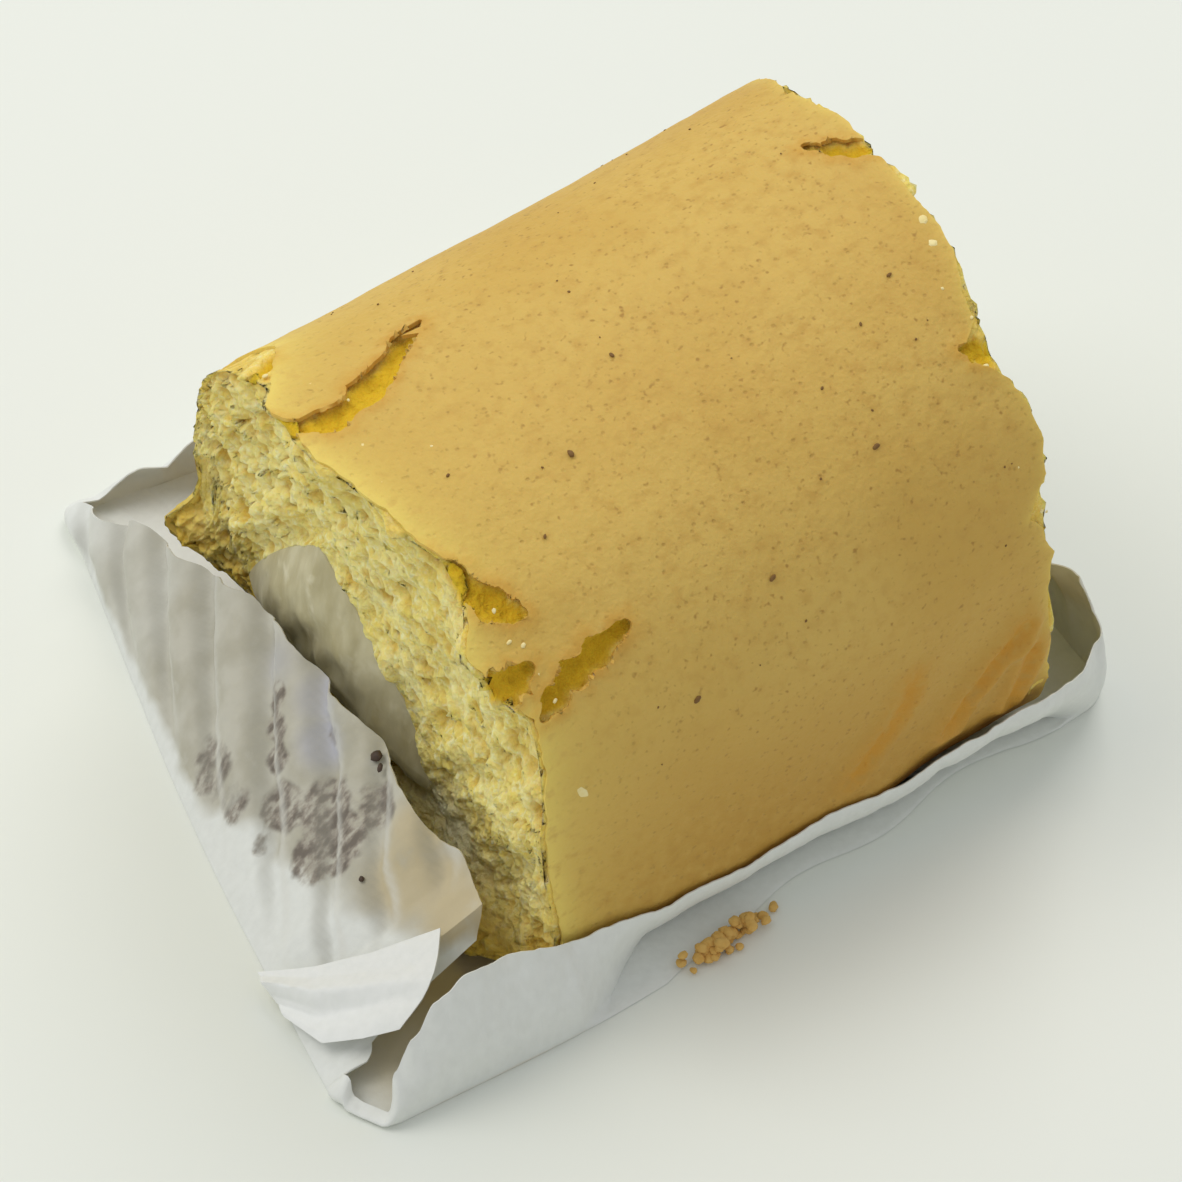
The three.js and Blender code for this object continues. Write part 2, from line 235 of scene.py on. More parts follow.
bpy.ops.object.select_all(action="DESELECT")
bpy.ops.mesh.primitive_uv_sphere_add(segments=168, ring_count=120, radius=0.01)
filling = bpy.context.object
filling.name = "banana_filling_core"
ball = places_of(filling) / 0.01
down = np.degrees(np.arccos(np.clip(ball[:, 2], -1, 1))) / 180  # 0 at the near pole, 1 at the far one
girth = np.degrees(np.arctan2(ball[:, 1], ball[:, 0]))
cap = 0.4  # share of the rings on each cut face
share = np.interp(down, [0, cap, 1 - cap, 1], [0, 0, 1, 1])
inward = np.interp(down, [0, cap, 1 - cap, 1], [1, 0, 0, 1]) ** 1.25
swell = np.where(down < 0.5, -filling_bulge, 0.4 * filling_bulge)
middle = mix(core_point(share, 90.0, 0), core_point(share, 270.0, 0), 0.6)
core = mix(core_point(share, girth, filling_gap), middle, inward[:, None])
core[:, 0] += swell * (1 - (1 - inward) ** 3) + 0.45 * inward * uneven(core[:, 1], core[:, 2], 2.6)
# The knife's smears run down the face, with a few soft lumps of banana.
smears = rough(core * (0.4, 1, 0.28), 1.5) + 0.8 * rough(core, 4.5, 2)
core[:, 0] += np.sign(swell) * 0.15 * smears * np.minimum(1, inward * 8)
put_places(filling, core)
face_outwards(filling)
bpy.ops.object.shade_smooth()

banana_cream, shader, place = new_finish("moist banana cream", 0.45)
glow_inside(shader, 0.3, 1.2, (1.0, 0.9, 0.7))
smear = grain(banana_cream, place, 5.0, 4, (0.4, 0.5, 2.2))
lumps = grain(banana_cream, place, 2.4, 3)
coloured(banana_cream, shader, layered(banana_cream, linear((184, 174, 134)), (
    (between(banana_cream, smear, 0.35, 0.68), (206, 198, 162)),
    (between(banana_cream, lumps, 0.56, 0.78), (216, 209, 178)),
)))
raised(banana_cream, shader, grain(banana_cream, place, 0.9, 3, (1, 1, 1.8)), 0.1)
filling.data.materials.append(banana_cream)
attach(filling, "root")
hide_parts("banana_filling")

# ---------------------------------------------------------------------------------------------------------
# The sponge crumb.
# A sheet of soft yellow sponge, rolled round the filling and cut across. Both cuts show its open crumb, and
# so do the tears where the skin split as the roll was bent and cut.
# ---------------------------------------------------------------------------------------------------------
crown_power, base_power = 2.25, 4.5
waist_share = 0.46
swell_power = 1.35
flare = {"at": 198, "reach": 13, "along": 6, "outward": 4.8, "proud": 3.4}
# The roll sags out over its front foot, except near the far cut.
belly = {"outward": 2.0, "at": -32, "reach": 16, "until": 0.6, "fade": 0.13}
skin_over_crumb = 0.25
skin_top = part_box("sponge_roll")[1].z / mm - 0.05
crumb_relief = 0.55
# Tears: the path along from the near cut and round the girth in degrees, the width and the depth.
tears = [
    ([(-4, 107), (-1.2, 99.7), (1.4, 98), (4.4, 99.6), (7.6, 102.6), (11, 107.6), (13, 109.5)], 2.9, 1.3),
    ([(-4, 121), (-0.6, 121.5), (2.2, 124), (3.4, 128)], 1.6, 1.1),
    ([(-3.6, 74), (-0.6, 66), (0.6, 60), (2.4, 53), (3.4, 51)], 2.9, 1.3),
    ([(-3, 41), (-0.6, 39.5), (1.6, 41)], 3.2, 1.3),
    ([(1.2, 30.5), (4.0, 35.2), (7.2, 37.4), (11.0, 39.4)], 2.7, 1.3),
    ([(55, 88), (51.5, 92.5), (49.4, 96), (47.6, 99.5)], 1.9, 1.1),
    ([(53, 50), (50.2, 50.5), (48.6, 53.5)], 2.0, 1.0),
]
# Where the skin starts at the near cut and ends at the far one, by girth. Torn crumb stands out with it.
skin_starts = [
    (-90, 0.6), (-12, 0.6), (14, 0.5), (31, 0.4), (35, -0.9), (42, -2.0), (48, -2.8), (52, -1.6),
    (56, -0.4), (63, 0.9), (72, -0.3), (86, -1.1), (92, -2.0), (109, -1.5), (114, 0.2), (119, 1.5),
    (126, 3.4), (132, 4.4), (142, 3.6), (152, 1.8), (166, 0.8), (198, 0.2), (215, 0.4), (270, 0.6),
]
skin_ends = [
    (-90, 51.0), (-12, 51.0), (0, 50.7), (7, 51.3), (14, 50.5), (17, 49.4), (20, 50.0), (24, 51.9),
    (31, 52.4), (39, 52.0), (44, 51.3), (47, 50.3), (50, 49.0), (54, 49.2), (57, 50.7), (62, 51.1),
    (70, 52.2), (88, 52.1), (100, 51.6), (116, 50.6), (130, 51.3), (160, 51.2), (200, 51.0), (270, 51.0),
]


def skin_point(share, girth):
    """The outside of the roll, by share of the length and girth in degrees from the front, over the top."""
    share, girth = np.broadcast_arrays(np.asarray(share, float), np.asarray(girth, float))
    width = mix(near_cut["width"], far_cut["width"], share)
    height = mix(near_cut["height"], far_cut["height"], np.maximum(share, 0) ** swell_power)
    c, s = np.cos(np.radians(girth)), np.sin(np.radians(girth))
    power = np.where(s > 0, crown_power, base_power)
    rise = np.where(s > 0, 1 - waist_share, waist_share) * height
    settle = 1 + 0.006 * uneven(share * slice_length, girth / 6, 9)
    y = -width / 2 * shaped(c, power) * settle
    z = cake_lift + waist_share * height + rise * shaped(s, power)
    point = in_slice(share, y, z)
    spread = bump(girth % 360, flare["at"], flare["reach"]) * bump(share * slice_length, 0, flare["along"])
    point[..., 1] += flare["outward"] * spread
    point[..., 0] -= flare["proud"] * spread * bump(share * slice_length, 0, flare["along"] / 2)
    sag = bump((girth + 90) % 360 - 90, belly["at"], belly["reach"])
    point[..., 1] -= belly["outward"] * sag * bump(np.maximum(share - belly["until"], 0), 0, belly["fade"])
    return point


def by_girth(table, girth):
    """A value from a table by girth, for girths of any turn."""
    turned = (np.asarray(girth, float) + 90) % 360 - 90
    return np.interp(turned, *zip(*table))


def line_on_skin(path, points, smoothings=0):
    """Points along a path on the roll, whose corners are rounded by so many smoothings."""
    knots = np.array(path, float)
    steps = np.linspace(0, len(knots) - 1, points)
    course = np.stack([np.interp(steps, range(len(knots)), knots[:, n]) for n in (0, 1)], axis=-1)
    for _ in range(smoothings):
        course[1:-1] = (course[:-2] + 2 * course[1:-1] + course[2:]) / 4
    return skin_point(course[:, 0] / slice_length, course[:, 1])


def tear_fields(places):
    """For each tear, each place's distance from its line, half width there, nearest point, and depth."""
    fields = []
    for path, width, depth in tears:
        line = line_on_skin(path, 60, 6)
        apart = np.linalg.norm(places[:, None] - line[None], axis=-1)
        nearest = apart.argmin(axis=1)
        t = nearest / (len(line) - 1)
        fullness = np.sin(np.pi * mix(0.06, 0.94, t)) ** 0.6
        ragged = 1 + 0.2 * np.sin(7.3 * t * np.pi + len(path))
        half_width = 0.5 * width * fullness * ragged
        fields.append((apart[range(len(places)), nearest], half_width, line[nearest], depth))
    return fields


def ways_out(piece):
    """The way out of the piece at each point of its mesh."""
    ways = np.empty(3 * len(piece.data.vertices))
    piece.data.vertices.foreach_get("normal", ways)
    return ways.reshape(-1, 3)


def keep_values(piece, values_by_name):
    """Keeps values at each point of the piece, for its finish to read."""
    for name, values in values_by_name.items():
        piece.data.attributes.new(name, "FLOAT", "POINT").data.foreach_set("value", values.astype(np.float32))


def drawn_value(finish, name):
    """A value that was kept at each point of the piece."""
    return node_of(finish, "ShaderNodeAttribute", {"attribute_name": name}).outputs["Fac"]


girth_steps, profile_steps = 560, 176
ring_radius, tube_radius = 0.02, 0.01
bpy.ops.object.select_all(action="DESELECT")
bpy.ops.mesh.primitive_torus_add(
    major_segments=girth_steps, minor_segments=profile_steps,
    major_radius=ring_radius, minor_radius=tube_radius,
)
crumb = bpy.context.object
crumb.name = "sponge_crumb"
ring = places_of(crumb)
girth = np.degrees(np.arctan2(ring[:, 1], ring[:, 0])) % 360
beyond_ring = np.hypot(ring[:, 0], ring[:, 1]) - ring_radius
profile = np.arctan2(ring[:, 2], beyond_ring) / (2 * np.pi) % 1 * profile_steps
# Round the profile: along under the skin, in over the far cut, back through the bore, out over the near cut.
skin_end, far_end, bore_end = 50, 90, 102
near_lip = np.maximum(0, 0.4 - by_girth(skin_starts, girth))
far_lip = np.maximum(0, by_girth(skin_ends, girth) - slice_length + 0.4)
along = np.interp(profile, [0, 24, 36, skin_end], [0, 12, 46, slice_length])
share = np.where(profile <= skin_end, along / slice_length, np.interp(profile, [far_end, bore_end], [1, 0]))
inward = np.interp(profile, [0, skin_end, far_end, bore_end, profile_steps], [0, 0, 1, 1, 0])
outside, bore = skin_point(share, girth), core_point(share, girth, 0)
reach = np.linalg.norm(bore - outside, axis=1)
from_skin = inward * reach
from_bore = (1 - inward) * reach
# The bore's edge is ragged, and the crumb laps a little over the cream.
lap = 0.35 + 0.5 * rough(np.stack([girth * 0.3, share * 30, 0 * girth], axis=-1), 3.0, 3)
inward_place = inward + (1 - inward) * skin_over_crumb / reach + np.maximum(lap, -0.1) * (inward ** 6) / reach
sponge = mix(outside, bore, inward_place[:, None])
on_near = profile > bore_end
on_far = (profile > skin_end) & (profile < far_end)
on_cut = on_near | on_far
side = np.where(on_near, -1, 1)
sponge[:, 0] += on_cut * side * crumb_relief * (
    uneven(sponge[:, 1], sponge[:, 2], 3.1) + 0.5 * uneven(sponge[:, 2], sponge[:, 1], 1.3)
)
# The torn lips: the crumb stands out beyond the plain cut wherever the skin above it does.
lip_fade = np.exp(-((from_skin / 5) ** 2))
sponge[:, 0] -= near_lip * np.where(on_near, lip_fade, np.clip(1 - along / 12, 0, 1) * (profile <= skin_end))
sponge[:, 0] += far_lip * np.where(on_far, lip_fade, np.clip(along / 12 - 3.28, 0, 1) * (profile <= skin_end))
put_places(crumb, sponge)
face_outwards(crumb)
outward = ways_out(crumb)

# The open crumb: grains with crevices between them, and bubbles of several sizes that the cut went through.
near_skin_cut = (profile <= skin_end) & ((along < 13) | (along > 45))
open_crumb = on_cut | near_skin_cut
coarse_at = bump(girth, 122, 40) * on_near  # the crumb tore coarsest high at the back of the near cut
lift = np.zeros(len(sponge))
# How much painted shade each place of the crumb gets: a darker colour laid into its crevices and bubble
# hollows.
pit_shade = np.zeros(len(sponge))
noise.seed_set(29)  # noise_vector is different in each run unless it is given a seed
for n in np.flatnonzero(open_crumb):
    spot = Vector(sponge[n])
    spot += 0.5 * noise.noise_vector(spot / 1.3) + 0.2 * noise.noise_vector(spot / 0.5)
    for cell, height in ((1.7, 0.34), (0.95, 0.2)):
        gaps, middles = noise.voronoi(spot / cell)
        crevice = max(0.0, 1 - (gaps[1] - gaps[0]) / 0.3)
        lift[n] += height * (0.8 * noise.cell(middles[0] * 5.1) - 0.9 * crevice)
        pit_shade[n] += 0.35 * crevice
    for cell, depth, kept in ((2.6, 0.9, 0.35 - 0.9 * coarse_at[n]), (1.2, 0.5, 0.0)):
        gaps, middles = noise.voronoi(spot / cell)
        size = noise.cell(middles[0] * 7.3)
        if size > kept:
            hollow = max(0.0, 1 - (gaps[0] / 0.5) ** 2)
            lift[n] -= depth * hollow
            pit_shade[n] += 0.9 * hollow
shown = np.flatnonzero(open_crumb)
lift[shown] += (0.55 + 0.35 * coarse_at[shown]) * rough(sponge[shown], 4.6, 3)
taper = np.minimum(1, np.where(on_cut, from_bore, 9) / 1.2)
# The knife dragged a smear of cream along the foot of the near cut, which fills its pits.
creamed = bump(sponge[:, 2], 6.4, 2.8) * bump(np.maximum(-10 - sponge[:, 1], 0), 0, 6)
creamed *= on_near & (sponge[:, 1] < 0)
pit_shade *= 1 - creamed
taper *= 1 - 0.7 * creamed
lift = taper * np.where(on_cut, lift, np.minimum(0.3 * lift, 0))
# The edge between the cut and the skin is rubbed round.
lift -= on_cut * 0.3 * np.exp(-from_skin / 0.6)
sponge = sponge + outward * lift[:, None]
torn = np.zeros(len(sponge))
for apart, half_width, nearest, depth in tear_fields(sponge):
    inside = np.clip(1 - (apart / (half_width * 1.2 + 0.2)) ** 2, 0, 1) * (from_skin < 3)
    torn = np.maximum(torn, inside ** 0.5)
    crumbled = np.zeros(len(sponge))
    within = np.flatnonzero(inside)
    crumbled[within] = 0.4 * rough(sponge[within], 1.1, 3)
    sponge -= outward * (inside * depth * 0.7 + inside ** 0.5 * crumbled)[:, None]
# Near its skin the crumb is moister and more golden, most of all low at the front and at the back.
golden = np.exp(-from_skin / 1.3) * 0.75 + 0.8 * bump(sponge[:, 2], 0, 7) * on_near
golden += 0.5 * bump(girth, 205, 30) * on_near
sponge[:, 2] = np.minimum(sponge[:, 2], skin_top - 0.1)
put_places(crumb, sponge)
bpy.ops.object.shade_smooth()
keep_values(
    crumb, {"pit_shade": np.clip(pit_shade, 0, 1), "torn": torn, "golden": np.clip(golden, 0, 1), "creamed": creamed}
)

open_sponge, shader, place = new_finish("open yellow crumb", 0.9)
glow_inside(shader, 0.35, 1.0, (1.0, 0.75, 0.3))
tint = grain(open_sponge, place, 4.0, 5)
fine = grain(open_sponge, place, 0.6, 3)
gold_there = times(open_sponge, drawn_value(open_sponge, "golden"), between(open_sponge, tint, 0.3, 0.62))
coloured(open_sponge, shader, layered(open_sponge, linear((244, 222, 118)), (
    (between(open_sponge, tint, 0.35, 0.68), (250, 236, 156)),
    (between(open_sponge, fine, 0.45, 0.8), (253, 246, 190)),
    (gold_there, (238, 194, 62)),
    # painted shade in the crumb's crevices and hollows
    (between(open_sponge, drawn_value(open_sponge, "pit_shade"), 0.2, 1.3), (220, 184, 72)),
    (between(open_sponge, drawn_value(open_sponge, "torn"), 0.1, 0.9), (226, 184, 24)),
    (drawn_value(open_sponge, "creamed"), (226, 218, 172)),
)))
coarse = raised(open_sponge, shader, pores(open_sponge, place, 0.7), 0.25)
raised(open_sponge, shader, grain(open_sponge, place, 0.35, 3), 0.2, coarse)
crumb.data.materials.append(open_sponge)
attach(crumb, "root")
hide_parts("sponge_roll")

# ---------------------------------------------------------------------------------------------------------
# The skin of the roll.
# The thin tan skin that the sheet baked on its outside, about a third of a millimetre thick. It tore ragged
# along both cuts and split in a few places, with its edges curled up a little over the crumb.
# ---------------------------------------------------------------------------------------------------------
skin_thickness = 0.35
# Creases low at the front of the far end, as paths along and round the girth.
creases = [
    ([(48.2, -0.6), (44.9, -2.5), (42, -6.3), (40, -13)], 0.9),
    ([(49, -3.5), (47.7, -10.4), (47, -16)], 0.8),
    ([(36.6, -0.4), (33, -6), (30, -12)], 0.5),
]


def thickened(piece, thickness, offset):
    """Gives a sheet its thickness in millimetres, all inwards for -1 and half to each side for 0."""
    bpy.ops.object.modifier_add(type="SOLIDIFY")
    piece.modifiers[-1].thickness = thickness * mm
    piece.modifiers[-1].offset = offset
    bpy.ops.object.modifier_apply(modifier=piece.modifiers[-1].name)


flat_size = 0.05
bpy.ops.object.select_all(action="DESELECT")
bpy.ops.mesh.primitive_grid_add(x_subdivisions=106, y_subdivisions=440, size=flat_size)
skin = bpy.context.object
skin.name = "sponge_skin"
flat = places_of(skin) / flat_size + 0.5
girth = np.interp(flat[:, 1], [0, 0.05, 0.95, 1], [-90, -12, 192, 270])
edge = np.stack([girth * 0.45, np.full_like(girth, 3.0), np.zeros_like(girth)], axis=-1)
start = by_girth(skin_starts, girth) + 0.3 * rough(edge, 4.0, 4) + 0.2 * rough(edge + 40, 1.2, 2)
end = by_girth(skin_ends, girth) + 0.3 * rough(edge + 80, 3.0, 4) + 0.15 * rough(edge + 120, 1.2, 2)
spread = np.interp(flat[:, 0], [0, 0.46, 0.76, 1], [0, 0.25, 0.85, 1])
hull = skin_point(mix(start, end, spread) / slice_length, girth)
from_near, from_far = spread * (end - start), (1 - spread) * (end - start)
thin = 0.8 * np.exp(-from_near / 1.7) + 0.4 * np.exp(-from_near / 9) + 0.6 * np.exp(-from_far / 0.8)
keep_values(skin, {"thin": thin})
put_places(skin, hull)
bpy.ops.object.mode_set(mode="EDIT")
bpy.ops.mesh.select_all(action="SELECT")
bpy.ops.mesh.remove_doubles(threshold=0.02 * mm)
bpy.ops.object.mode_set(mode="OBJECT")
face_outwards(skin)
hull = places_of(skin) / mm - (*roll_middle, 0)
outward = ways_out(skin)
from_axis = hull - (0, 0, cake_lift + 0.45 * near_cut["height"])
if np.mean(np.sum(outward[:, 1:] * from_axis[:, 1:], axis=1)) < 0:
    bpy.ops.object.mode_set(mode="EDIT")
    bpy.ops.mesh.select_all(action="SELECT")
    bpy.ops.mesh.flip_normals()
    bpy.ops.object.mode_set(mode="OBJECT")
    outward = -outward

# Each tear: the skin inside its outline goes, the rest is drawn up to the outline and curled up.
gone = np.zeros(len(hull), bool)
snapped = hull.copy()
curl = np.zeros(len(hull))
jag = rough(hull, 1.8, 2)
for apart, half_width, nearest, depth in tear_fields(hull):
    outline = half_width * (1 + 0.3 * jag)
    inside = apart < outline
    gone |= inside
    away = (hull - nearest) / np.maximum(apart, 1e-6)[:, None]
    snapped[inside] = (nearest + away * outline[:, None])[inside]
    curl = np.maximum(curl, np.exp(-((np.maximum(apart - outline, 0) / 1.0) ** 2)))
# A deeper golden-brown is painted round the torn edges, where it is the skin's own colour, and along the
# creases, where it is painted shade.
edge_gilt_and_crease_shade = 0.5 * curl
groove = np.zeros(len(hull))
for path, depth in creases:
    line = line_on_skin(path, 40)
    apart = np.linalg.norm(hull[:, None] - line[None], axis=-1).min(axis=1)
    groove += depth * (0.2 * np.exp(-((apart / 0.6) ** 2)) - 1.4 * np.exp(-(((apart - 1.3) / 0.7) ** 2)))
    edge_gilt_and_crease_shade = np.maximum(edge_gilt_and_crease_shade, np.exp(-((apart / 1.5) ** 2)))
gentle = 0.16 * rough(hull, 11.0, 2) + 0.05 * rough(hull, 3.0, 3)
hull = snapped + outward * (0.16 * curl + gentle - 0.5 * groove)[:, None]
hull[:, 2] = np.minimum(hull[:, 2], skin_top)
put_places(skin, hull)
keep_values(skin, {"edge_gilt_and_crease_shade": np.clip(edge_gilt_and_crease_shade, 0, 1)})
bpy.ops.object.mode_set(mode="EDIT")
bpy.ops.mesh.select_all(action="DESELECT")
bpy.ops.mesh.select_mode(type="VERT")
bpy.ops.object.mode_set(mode="OBJECT")
for vertex in skin.data.vertices:
    vertex.select = bool(gone[vertex.index])
bpy.ops.object.mode_set(mode="EDIT")
bpy.ops.mesh.select_mode(type="FACE")
bpy.ops.mesh.delete(type="FACE")
bpy.ops.object.mode_set(mode="OBJECT")
thickened(skin, skin_thickness, -1)
# Where an edge curls over, its inner side can stand above the skin, so it is pressed down level with it.
hull = places_of(skin)
hull[:, 2] = np.minimum(hull[:, 2], skin_top * mm)
skin.data.vertices.foreach_set("co", hull.ravel())
skin.data.update()
bpy.ops.object.shade_smooth_by_angle(angle=math.radians(50))

tan_skin, shader, place = new_finish("thin tan skin", 0.7)
glow_inside(shader, 0.15, 0.8, (1.0, 0.6, 0.25))
cloud = grain(tan_skin, place, 20.0, 3)
mottle = grain(tan_skin, place, 1.3, 4)
freckle = grain(tan_skin, place, 0.55, 1)
height = node_of(tan_skin, "ShaderNodeSeparateXYZ", Vector=place).outputs["Z"]
pinholes = between(tan_skin, pores(tan_skin, place, 0.8), 0.3, 0.08)
pinholes = times(tan_skin, pinholes, between(tan_skin, mottle, 0.42, 0.6))
paled = times(tan_skin, drawn_value(tan_skin, "thin"), between(tan_skin, mottle, 0.15, 0.5))
gilded_and_crease_shaded = times(tan_skin, drawn_value(tan_skin, "edge_gilt_and_crease_shade"), between(tan_skin, mottle, 0.2, 0.6))
coloured(tan_skin, shader, layered(tan_skin, linear((206, 166, 76)), (
    (between(tan_skin, cloud, 0.3, 0.7), (215, 179, 90)),
    # Darker and browner towards the foot of the skin: partly a browner skin low down, partly painted shade on
    # the low sides that face down.
    (between(tan_skin, height, 0.036, 0.004), (188, 142, 54)),  # heights in metres
    (between(tan_skin, mottle, 0.4, 0.85), (200, 158, 72)),
    (times(tan_skin, pinholes, 0.42), (164, 122, 48)),
    (between(tan_skin, freckle, 0.62, 0.84), (174, 132, 56)),
    (paled, (232, 204, 100)),
    # deeper golden-brown round the torn edges, and painted shade along the creases
    (gilded_and_crease_shaded, (204, 146, 36)),
)))
soft = raised(tan_skin, shader, grain(tan_skin, place, 4.0, 3), 0.12)
dimpled = raised(tan_skin, shader, pinholes, -0.05, soft)
raised(tan_skin, shader, grain(tan_skin, place, 0.5, 2), 0.09, dimpled)
skin.data.materials.append(tan_skin)
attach(skin, "root")
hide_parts("sponge_roll")

# ---------------------------------------------------------------------------------------------------------
# The paper case.
# Thin white greaseproof paper pressed into pleats, with a flat floor. Its ends are folded in over the cuts,
# where the filling wets and stains it, and the front left corner has been pulled open.
# ---------------------------------------------------------------------------------------------------------
sheet_thickness = 0.12
# The corners of the floor, and how far from each one its rounding starts.
case_corners = [
    ((-42.9, -30.4), 0.7), ((-22.0, -30.8), 9.0), ((35.2, -24.2), 3.2), ((38.6, 36.4), 3.2),
    ((-33.3, 43.8), 1.8), ((-41.8, 5.0), 13.0), ((-45.8, -25.4), 0.7),
]
pleat_pitch = 6.5
steps_per_pleat = 22
pleat_depth = 1.0
scallop_rise = 0.9
# Place round the floor from the front left corner, a whole number at each corner: rise, lean in, pleating.
wall_stations = np.array([
    (0.0, 0.8, 0.4, 0.1), (0.12, 5.0, 1.2, 0.1), (0.28, 8.2, 1.6, 0.1), (0.47, 11.2, 1.9, 0.2),
    (0.71, 12.2, 2.3, 0.2), (1.0, 11.4, 2.6, 0.3), (1.14, 8.9, 2.4, 0.3), (1.28, 7.3, 1.5, 0.3),
    (1.4, 7.2, 0.7, 0.3), (1.52, 8.0, -0.1, 0.3), (1.66, 7.9, -1.1, 0.4), (1.8, 8.6, -2.1, 0.4),
    (1.93, 8.9, -2.1, 0.5), (2.0, 9.6, -0.2, 0.6), (2.07, 13.6, 3.6, 1.0), (2.3, 16.4, 5.4, 1.0),
    (2.7, 16.8, 6.4, 1.0), (2.94, 13.6, 2.4, 1.0), (3.06, 13.6, 2.4, 1.0), (3.3, 15.6, 5.6, 1.0),
    (3.7, 14.0, 5.4, 1.0), (3.93, 3.6, 1.4, 0.6), (4.0, 1.6, 0.6, 0.3), (4.22, 4.0, 1.7, 0.8),
    (4.52, 8.8, 4.8, 1.0), (4.66, 9.6, 6.0, 1.0), (4.78, 10.8, 7.2, 1.0), (4.9, 12.0, 8.6, 1.0),
    (5.03, 13.1, 9.9, 0.8), (5.15, 13.9, 11.3, 0.8), (5.33, 14.1, 12.4, 0.6), (5.48, 13.7, 14.2, 0.4),
    (5.7, 13.0, 14.1, 0.3), (5.82, 12.5, 16.2, 0.2), (5.9, 11.8, 16.0, 0.2), (5.92, 8.6, 15.0, 0.1),
    (5.935, 4.4, 8.6, 0.1), (5.965, 2.2, 4.4, 0.1), (6.05, 2.0, 1.4, 0.1), (6.3, 2.4, 1.1, 0.1),
    (6.42, 1.0, 0.5, 0.1), (6.6, 0.8, 0.4, 0.1), (7.0, 0.8, 0.4, 0.1),
])
# Where the wet paper and its stains are: the place, the reach, and how strong.
damp_places = [
    ((-31, -3, 13), 11, 1.0), ((-33, 6, 10), 11, 1.0), ((-35.5, -3, 7), 9, 1.0), ((-31.5, -14, 12), 9, 1.0),
    ((-35, 15, 8), 12, 1.0), ((-36, 26, 6), 12, 0.8), ((-39, 9, 3), 8, 1.0), ((30, -18, 12), 7, 0.5),
]
cool_places = [((-29.5, 2.5, 13.2), 2.6, 0.9), ((-29.8, 8, 12.6), 2.6, 0.6), ((-31.4, -0.5, 11.5), 2.4, 1.0)]
smear_places = [
    ((-32.2, 6, 11.5), 1.9, 0.8), ((-33.4, 4, 10.2), 1.9, 0.9), ((-34.5, 2, 9), 1.9, 0.9),
    ((-36.6, -1.5, 7.2), 2.6, 0.9), ((-34, -5.5, 9.5), 3.2, 1.0), ((-35.1, -8.3, 9.2), 3.4, 1.0),
    ((-37.2, -7.5, 6.6), 2.5, 0.8), ((-31.5, -9.5, 12.4), 2.6, 0.8), ((-38, 7.7, 4.2), 3.4, 0.6),
    ((-38.6, 3, 4.5), 2.4, 0.6), ((-39.2, -2.1, 4.5), 1.4, 0.6), ((-30.6, -1, 12.8), 1.5, 0.5),
]
cream_places = [
    ((-33, -16, 10.5), 3.6, 0.8), ((-31, -19, 11), 3.4, 0.8), ((-30.5, -14, 13), 2.8, 0.7),
    ((-30, -22, 9), 5.0, 0.9), ((-30, -23, 0.3), 8, 0.9), ((-37, -25, 0.3), 6, 0.6), ((32, -17, 12), 5, 0.5),
]



def ramped(place, start, up_over, end, down_over):
    """1 between start and end and 0 outside them, with an even slope at either side."""
    return np.clip((place - start) / up_over, 0, 1) * np.clip((end - place) / down_over, 0, 1)


# The outline of the floor, walked anticlockwise from where the front left corner starts.
outline, corner_at = [], []
for n, (corner, rounding) in enumerate(case_corners):
    corner = np.array(corner)
    towards = [np.array(case_corners[(n + step) % len(case_corners)][0]) - corner for step in (-1, 1)]
    before, after = (corner + rounding * way / np.linalg.norm(way) for way in towards)
    corner_at.append(len(outline))
    for t in np.linspace(0, 1, 25):
        outline.append((1 - t) ** 2 * before + 2 * t * (1 - t) * corner + t ** 2 * after)
outline = np.array([*outline, outline[0]])
walked = np.concatenate([[0], np.cumsum(np.linalg.norm(np.diff(outline, axis=0), axis=1))])
corner_walk = [*(walked[n] for n in corner_at), walked[-1]]
pleats = round(walked[-1] / pleat_pitch)
round_steps = pleats * steps_per_pleat
wall_steps, floor_steps = 34, 8
start_radius = 0.03

bpy.ops.object.select_all(action="DESELECT")
bpy.ops.mesh.primitive_circle_add(vertices=round_steps, radius=start_radius, fill_type="NOTHING")
case = bpy.context.object
case.name = "pleated_paper_case"
bpy.ops.object.mode_set(mode="EDIT")
bpy.ops.mesh.select_all(action="SELECT")
for _ in range(wall_steps):
    bpy.ops.mesh.extrude_edges_move(TRANSFORM_OT_translate={"value": (0, 0, mm)})
bpy.ops.object.mode_set(mode="OBJECT")
for vertex in case.data.vertices:
    vertex.select = vertex.co.z < 1e-5
for edge_line in case.data.edges:
    edge_line.select = all(case.data.vertices[v].select for v in edge_line.vertices)
for face in case.data.polygons:
    face.select = False
bpy.ops.object.mode_set(mode="EDIT")
bpy.ops.mesh.select_mode(type="EDGE")
for n in range(floor_steps - 1):
    shrink = 1 - (n + 1) / floor_steps
    bpy.ops.mesh.extrude_edges_move()
    size = shrink / (1 - n / floor_steps)
    bpy.ops.transform.resize(value=(size, size, 1), center_override=(0, 0, 0))
bpy.ops.mesh.edge_face_add()
bpy.ops.object.mode_set(mode="OBJECT")

